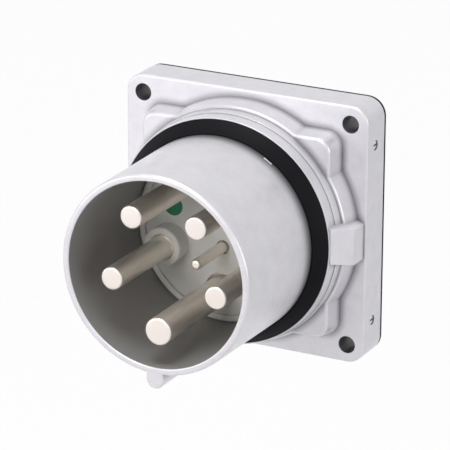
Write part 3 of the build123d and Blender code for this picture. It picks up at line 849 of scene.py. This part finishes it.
def carrier_moulding(material):
    """Insulating disc with its rim, the neutral's collar, recesses and bores, and the plate behind."""
    carrier_r = bore_r - carrier_clearance
    rim_inner_r = rim_outer_r - rim_width
    groove_r = rim_inner_r - groove_width
    gland_rear = carrier_seat + gland_height
    gland_front = gland_rear + gland_width
    profile = outline(
        (0, carrier_face), (groove_r, carrier_face, 0.15 * mm), (groove_r, carrier_face - groove_depth),
        (rim_inner_r, carrier_face - groove_depth), (rim_inner_r, carrier_face + rim_height, 0.2 * mm),
        (rim_outer_r, carrier_face + rim_height, 0.25 * mm), (rim_outer_r, carrier_face),
        (carrier_r, carrier_face, 1.0 * mm), (carrier_r, gland_front), (gland_r, gland_front),
        (gland_r, gland_rear), (carrier_r, gland_rear),
        (carrier_r, carrier_seat - mm), (0, carrier_seat - mm))
    carrier = turned(profile, sides=192)
    edit(carrier)
    bpy.ops.mesh.select_all(action="SELECT")
    bpy.ops.mesh.dissolve_limited(angle_limit=radians(0.5))
    close_edit()
    plate = rounded_plate(carrier_high.x - carrier_low.x, carrier_plate_corner_r, carrier_seat, carrier_rear)
    weld(carrier, round_edges(plate, at_station(carrier_rear), 0.4 * mm))
    collar_top = carrier_face + neutral_collar_stand
    collar = turned(outline(
        (neutral_collar_bore_r, carrier_face - mm),
        (neutral_collar_bore_r, collar_top, 0.5 * mm), (neutral_collar_r, collar_top, 0.8 * mm),
        (neutral_collar_r, carrier_face - mm)), on_pitch("neutral"), 96)
    weld(carrier, collar)
    cuts = [
        rod(on_pitch("earth"), earth_recess_r, carrier_face + mm, carrier_face - earth_recess_depth, 96),
        rod(pilot_place, pilot_recess_r, carrier_face + mm, carrier_face - pilot_recess_depth, 64),
        rod(pilot_place, pilot_r + shank_margin + pin_clearance, carrier_face - mm, carrier_rear - mm, 64),
        rod(pilot_place, pilot_barrel_r + chamber_clearance, barrel_front, carrier_rear - mm, 64)]
    for name in pin_angles:
        radius = earth_pin_r if name == "earth" else pin_r
        hole_r = radius + shank_margin + pin_clearance
        cuts.append(rod(on_pitch(name), hole_r - hair, carrier_face + mm, carrier_rear - mm, 96))
        cuts.append(rod(on_pitch(name), shoulder_r + chamber_clearance, barrel_front, carrier_rear - mm, 96))
    for shape in cuts:
        combine(carrier, shape, "DIFFERENCE")
    screw_holes = [rod(place, carrier_screw_r + screw_clearance, carrier_seat + mm, carrier_rear - mm, 32)
                   for place in corners(carrier_screw_spacing)]
    cut(carrier, *screw_holes)
    cut(carrier, strap_shape(strap_clearance, carrier_rear - mm))
    return dress(carrier, "carrier_moulding", "contact_carrier", material)


def strap_shape(margin, rear):
    """The earth bond strap's ring, run and eye in one, grown by a margin."""
    ring_place = Vector(on_pitch("earth"))
    eye_place = Vector((carrier_screw_spacing / 2, -carrier_screw_spacing / 2))
    run = eye_place - ring_place
    front = carrier_rear + strap_thickness
    ring = rod(ring_place, shoulder_r + strap_ring_width + margin, front, rear, 96)
    eye = rod(eye_place, strap_eye_r + margin, front, rear, 48)
    link = bar(ring_place, direction(run), 0, run.length, strap_width + 2 * margin, front, rear)
    return weld(ring, link, eye)


def bond_strap(material):
    """Tinned copper strap from the earth contact's barrel to a carrier screw."""
    strap = strap_shape(0, carrier_rear)
    cut(strap, rod(on_pitch("earth"), shoulder_r + close_fit, barrel_front, carrier_rear - mm, 96),
        rod((carrier_screw_spacing / 2, -carrier_screw_spacing / 2), carrier_screw_r + screw_clearance,
            barrel_front, carrier_rear - mm, 48))
    return dress(strap, "bond_strap", "earth_bond_strap", material)


def pin_end(name):
    """Station of a contact pin's tip."""
    return flange_face + (earth_pin_height if name == "earth" else pin_height)


def contact(name, material):
    """Turned contact with a rounded end, and a barrel behind with its cable bore and clamp screw holes."""
    radius = earth_pin_r if name == "earth" else pin_r
    end = pin_end(name)
    root = carrier_face + root_heights.get(name, 0)
    place = on_pitch(name)
    bore_end = barrel_rear + cable_bore_depth
    body = turned(outline(
        (0, end), (radius, end, 0.9 * mm), (radius, root), (radius + shank_margin, root),
        (radius + shank_margin, barrel_front), (shoulder_r, barrel_front, 0.3 * mm),
        (shoulder_r, carrier_rear, 0.3 * mm), (barrel_r, carrier_rear), (barrel_r, barrel_rear, 0.6 * mm),
        (cable_bore_r, barrel_rear, 0.4 * mm), (cable_bore_r, bore_end), (0, bore_end + 1.5 * mm)), place, 96)
    angle = radians(pin_angles[name])
    screw_holes = [radial_rod(place, angle, station, clamp_screw_r + close_fit, 0, 2 * barrel_r)
                   for station in clamp_stations]
    cut(body, *screw_holes)
    return dress(body, f"{name}_contact", pin_node(name), material)


def pin_node(name):
    """Name of a contact's node, which for a phase ends in its number."""
    if name.startswith("phase_"):
        return name.replace("phase_", "phase_pin_")
    return f"{name}_pin"


def hexagon_r(across_flats):
    """Distance from a hexagon's middle to its corners."""
    return across_flats / (2 * cos(pi / 6))


def set_screw(place, angle, station, radius, start, length, across_flats):
    """Set screw that points outwards, with a chamfered end, rings for a thread and a hexagon socket."""
    end = start + length
    pitch = 1.25 * mm
    plain_start = 0.9 * mm
    plain_end = 0.5 * mm
    root_r = radius - 0.5 * mm
    crest_r = radius - 0.05 * mm
    points = [(0, start), (radius - 0.7 * mm, start), (radius - 0.1 * mm, start + 0.6 * mm)]
    turns = int((length - plain_start - plain_end) / pitch)
    for turn in range(turns):
        rise = start + plain_start + turn * pitch
        points += [(root_r, rise + pitch / 2), (crest_r, rise + pitch * 0.95)]
    points += [(root_r, end), (0, end)]
    screw = turned([Vector(point) for point in points], sides=48)
    socket = rod((0, 0), hexagon_r(across_flats), end + mm, end - length / 2, 6)
    cut(screw, socket)
    turn = Matrix.Rotation(-angle, 4, "Y") @ Matrix.Rotation(pi / 2, 4, "Z")
    take(screw).matrix_world = Matrix.Translation((place[0], -station, place[1])) @ turn
    return settle()


def clamp_screw_pair(name, material):
    """The two clamp screws of one terminal."""
    place = on_pitch(name)
    angle = radians(pin_angles[name])
    start = cable_bore_r + close_fit
    screws = [set_screw(place, angle, station, clamp_screw_r, start, clamp_screw_length, hexagon_across_flats)
              for station in clamp_stations]
    return dress(together(screws), f"{name}_screws", f"{name}_clamp_screws", material)


def pilot_contact(material):
    """Thin pilot contact with a domed tip, a centre dimple and a small screw barrel."""
    end = flange_face + pilot_height
    root = carrier_face - pilot_recess_depth
    bore_end = pilot_rear + pilot_bore_depth
    body = turned(outline(
        (0, end - 0.5 * mm), (0.5 * mm, end - 0.15 * mm), (0.55 * mm, end), (pilot_r, end, 1.4 * mm),
        (pilot_r, root), (pilot_r + shank_margin, root), (pilot_r + shank_margin, barrel_front),
        (pilot_barrel_r, barrel_front, 0.3 * mm),
        (pilot_barrel_r, pilot_rear, 0.3 * mm), (pilot_bore_r, pilot_rear, 0.2 * mm),
        (pilot_bore_r, bore_end), (0, bore_end + 0.6 * mm)), pilot_place, 64)
    angle, station = pilot_screw_line()
    cut(body, radial_rod(pilot_place, angle, station, pilot_screw_r + close_fit, 0, 2 * pilot_barrel_r, 32))
    return dress(body, "pilot_contact", "pilot_pin", material)


def pilot_screw_line():
    """Angle and station of the pilot terminal's screw, between the earth's chamber and that of phase 1."""
    earth = on_pitch("earth")
    phase = on_pitch("phase_1")
    gap = Vector(((earth[0] + phase[0]) / 2 - pilot_place[0], (earth[1] + phase[1]) / 2 - pilot_place[1]))
    return direction(gap), pilot_rear + pilot_screw_setback


def pilot_screw(material):
    """Slotted set screw of the pilot terminal."""
    angle, station = pilot_screw_line()
    start = pilot_bore_r + close_fit
    end = start + pilot_screw_length
    screw = radial_rod(pilot_place, angle, station, pilot_screw_r, start, end, 32)
    round_edges(screw, square_cornered, 0.2 * mm, 2)
    slot = bar(pilot_place, angle, end - slot_depth, end + mm, slot_width, station + 2 * mm, station - 2 * mm)
    cut(screw, slot)
    return dress(screw, "pilot_terminal_screw", "pilot_clamp_screw", material)


# Contact retainer, terminal divider and their screws

def retainer_disc(material):
    """Disc that traps the contacts' shoulders."""
    disc = turned(outline((0, carrier_rear), (retainer_r, carrier_rear, 0.3 * mm),
                          (retainer_r, retainer_rear, 1.0 * mm), (0, retainer_rear)), sides=192)
    holes = [rod(on_pitch(name), barrel_r + chamber_clearance, carrier_rear + mm, retainer_rear - mm, 96)
             for name in pin_angles]
    holes += [rod(place, retainer_screw_r + screw_clearance, carrier_rear + mm, retainer_rear - mm, 32)
              for place in retainer_screw_places()]
    holes.append(rod(pilot_place, hub_r + hub_clearance, carrier_rear + mm, retainer_rear - mm, 96))
    cut(disc, *holes)
    return dress(disc, "retainer_disc", "contact_retainer", material)


def terminal_ribs(material):
    """Ribs that part the terminals, and the hub with its channel to the pilot's screw."""
    angle, station = pilot_screw_line()
    channel_length = rib_reach - hypot(*pilot_place)
    walls = [bar((0, 0), radians(rib), 0, rib_reach, rib_thickness, retainer_rear, divider_rear)
             for rib in rib_angles]
    walls.append(bar(pilot_place, angle, 0, channel_length, channel_width + 2 * channel_wall,
                     retainer_rear, divider_rear))

    def behind_retainer(edge):
        """Test for an edge with an end behind the retainer."""
        return max(vertex.co.y for vertex in edge.verts) > hair - retainer_rear

    for wall in walls:
        round_edges(wall, behind_retainer, rib_edge_r)
    hub = rod(pilot_place, hub_r, carrier_rear, divider_rear, 96)
    round_edges(hub, at_station(divider_rear), rib_edge_r)
    weld(hub, *walls)
    chamber = rod(pilot_place, pilot_barrel_r + chamber_clearance, carrier_rear + mm, divider_rear - mm, 64)
    floor = station + channel_width / 2
    channel = bar(pilot_place, angle, 0, channel_length + 5 * mm, channel_width, floor, divider_rear - mm)
    for shape in (chamber, channel):
        combine(hub, shape, "DIFFERENCE")
    return dress(hub, "terminal_ribs", "terminal_divider", material)


def retainer_screw_places():
    """X and Z of the screws through the contact retainer."""
    return [(retainer_ring_r * cos(radians(angle)), retainer_ring_r * sin(radians(angle)))
            for angle in retainer_screw_angles]


def carrier_screw_set(material):
    """Four socket cap screws."""
    screws = []
    end = carrier_rear + carrier_screw_reach
    head_rear = carrier_rear - carrier_screw_head_height
    for place in corners(carrier_screw_spacing):
        screw = turned(outline(
            (0, end), (carrier_screw_r, end, 0.4 * mm), (carrier_screw_r, carrier_rear),
            (carrier_screw_head_r, carrier_rear, 0.15 * mm), (carrier_screw_head_r, head_rear, 0.6 * mm),
            (0, head_rear)), place, 64)
        cut(screw, rod(place, hexagon_r(hexagon_across_flats), head_rear + hexagon_depth, head_rear - mm, 6))
        screws.append(screw)
    return dress(together(screws), "carrier_screw_set", "carrier_screws", material)


def retainer_screw_set(material):
    """Three slotted screws through the contact retainer."""
    screws = []
    end = carrier_rear + retainer_screw_reach
    head_rear = retainer_rear - retainer_screw_head_height
    for place in retainer_screw_places():
        screw = turned(outline(
            (0, end), (retainer_screw_r, end, 0.3 * mm), (retainer_screw_r, retainer_rear),
            (retainer_screw_head_r, retainer_rear, 0.15 * mm), (retainer_screw_head_r, head_rear, 0.6 * mm),
            (0, head_rear)), place, 64)
        cut(screw, bar(place, 0, -4 * mm, 4 * mm, slot_width, head_rear + slot_depth, head_rear - mm))
        screws.append(screw)
    return dress(together(screws), "retainer_screw_set", "retainer_screws", material)


def side_screw_set(material):
    """Four slotted set screws in the flange's sides."""
    screws = []
    station = flange_face - side_screw_depth
    outer = flange_side / 2 - side_screw_sunk
    for side, z in side_screw_places():
        screw = radial_rod((0, z), side, station, side_screw_r, outer - side_screw_length, outer, 48)
        round_edges(screw, square_cornered, 0.25 * mm)
        mark = outer * cos(side)
        slot = block((mark - slot_depth, -station - 3 * mm, z - slot_width / 2),
                     (mark + slot_depth, -station + 3 * mm, z + slot_width / 2))
        cut(screw, slot)
        screws.append(screw)
    return dress(together(screws), "side_screw_set", "side_screws", material)


def round_sticker(material):
    """Thin round sticker on the carrier's face."""
    place = ((sticker_low.x + sticker_high.x) / 2, (sticker_low.z + sticker_high.z) / 2)
    radius = (sticker_high.x - sticker_low.x) / 2
    front = -sticker_low.y
    disc = turned(outline((0, front), (radius, front, 0.05 * mm), (radius, -sticker_high.y),
                          (0, -sticker_high.y)), place, 96)
    return dress(disc, "round_sticker", "inspection_sticker", material)


# Build

paint = housing_paint()
carrier_grey = moulded_plastic("carrier_plastic", (0.80, 0.795, 0.76), 0.42)
block_grey = moulded_plastic("block_plastic", (0.10, 0.105, 0.11), 0.5)
nickel = (0.99, 0.915, 0.825)
# Painted shade: a darker nickel for the contacts' tips.
nickel_shaded_tip = (0.83, 0.765, 0.72)
screw_steel = plain_metal("screw_steel", (0.62, 0.62, 0.63), 0.3)
housing_casting(paint)
flange_gasket(rubber("gasket_rubber", (0.018, 0.018, 0.019), 0.6))
seal_ring(rubber("seal_rubber", (0.007, 0.007, 0.009), 0.45))
carrier_moulding(carrier_grey)
for pin_name in pin_angles:
    contact(pin_name, turned_metal(f"nickel_plate_{pin_name}", on_pitch(pin_name), pin_end(pin_name),
                                   nickel, nickel_shaded_tip, 0.3))
    clamp_screw_pair(pin_name, screw_steel)
pilot_contact(turned_metal("nickel_plate_pilot", pilot_place, mouth, nickel, nickel_shaded_tip, 0.3))
pilot_screw(screw_steel)
bond_strap(plain_metal("tinned_copper", (0.70, 0.69, 0.66), 0.34))
retainer_disc(block_grey)
terminal_ribs(block_grey)
carrier_screw_set(screw_steel)
retainer_screw_set(screw_steel)
side_screw_set(plain_metal("side_screw_steel", (0.74, 0.73, 0.71), 0.3))
round_sticker(sticker_green())
hidden_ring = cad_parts["carrier_o_ring"]
hidden_ring.data.materials.clear()
hidden_ring.data.materials.append(rubber("o_ring_rubber", (0.02, 0.02, 0.02), 0.5))


# Studio

def studio_floor():
    """Pale floor well below the inlet, white to the camera and in reflections, with the soft shadow kept."""
    floor_height = -0.16
    white_share = 0.965
    bpy.ops.mesh.primitive_plane_add(size=6, location=(0, 0, floor_height))
    floor = settle()
    floor.name = "studio_floor"
    material, start = new_finish("studio_floor")
    tree = material.node_tree
    grain = noise(start, object_place(start), 30.0, 2.0)
    colour = blend_colours(start, grain, (0.94, 0.94, 0.94, 1), (0.96, 0.96, 0.96, 1))
    connect(start, base_color=colour, roughness=0.9)
    white = start.add("ShaderNodeEmission", {}, {"Color": (1, 1, 1, 1), "Strength": 1.0})
    seen = background_rays(start)
    surface = start.add("ShaderNodeMixShader", {}, {
        0: white_share * seen, 1: Shade(tree, principled(tree).outputs[0]), 2: white})
    tree.links.new(surface.socket, tree.nodes["Material Output"].inputs[0])
    floor.data.materials.append(material)


def background_rays(start):
    """One where a ray comes from the camera, a reflection or a clear body, else zero."""
    rays = start.add("ShaderNodeLightPath").socket.node.outputs
    seen = Shade(start.tree, rays["Is Camera Ray"])
    for name in ("Is Glossy Ray", "Is Transmission Ray"):
        seen = start.maths("MAXIMUM", seen, Shade(start.tree, rays[name]))
    return seen


def studio_world():
    """White to the camera and in reflections, and a plain soft fill on everything else."""
    world = bpy.data.worlds.new("studio_world")
    world.use_nodes = True
    bpy.context.scene.world = world
    start = Shade(world.node_tree)
    world.node_tree.nodes.clear()
    fill = start.add("ShaderNodeBackground", {}, {"Color": (1, 1, 1, 1), "Strength": 0.05})
    white = start.add("ShaderNodeBackground", {}, {"Color": (1, 1, 1, 1), "Strength": 1.0})
    mixed = start.add("ShaderNodeMixShader", {}, {0: background_rays(start), 1: fill, 2: white})
    output = world.node_tree.nodes.new("ShaderNodeOutputWorld")
    world.node_tree.links.new(mixed.socket, output.inputs[0])


def soft_box(name, place, power):
    """Square soft lamp that points at the inlet's middle."""
    side = 0.6
    inlet_middle = Vector((0, -0.04, 0))
    bpy.ops.object.light_add(type="AREA", location=place)
    lamp = bpy.context.object
    lamp.name = name
    lamp.data.energy = power
    lamp.data.size = side
    aim = inlet_middle - Vector(place)
    lamp.rotation_euler = aim.to_track_quat("-Z", "Y").to_euler()


def photo_camera():
    """Long lens above and to the right of the mouth, as in the photograph."""
    azimuth, elevation, roll = radians(27.36), radians(19.537), radians(0.223)
    distance, shift_left, shift_down = 1.32899, 0.008370, 0.003076
    back = Vector((sin(azimuth) * cos(elevation), -cos(azimuth) * cos(elevation), sin(elevation)))
    right = Vector((cos(azimuth), sin(azimuth), 0))
    up = back.cross(right)
    right, up = cos(roll) * right + sin(roll) * up, cos(roll) * up - sin(roll) * right
    bpy.ops.object.camera_add()
    camera = bpy.context.object
    place = Vector((0, -flange_face, 0)) + distance * back - shift_left * right - shift_down * up
    camera.matrix_world = Matrix((
        (right.x, up.x, back.x, place.x), (right.y, up.y, back.y, place.y),
        (right.z, up.z, back.z, place.z), (0, 0, 0, 1)))
    camera.data.lens = 249.47
    camera.data.sensor_width = 36.0
    camera.data.clip_end = 20.0
    bpy.context.scene.camera = camera


studio_floor()
studio_world()
soft_box("top_lamp", (-0.1, -0.3, 1.3), 10.6)
soft_box("front_lamp", (-0.12, -1.35, 0.55), 5.2)
soft_box("left_lamp", (-0.8, -1.0, 0.0), 4.5)
soft_box("right_lamp", (1.3, -0.2, 0.2), 4.4)
photo_camera()
bpy.context.scene.view_settings.view_transform = "Standard"
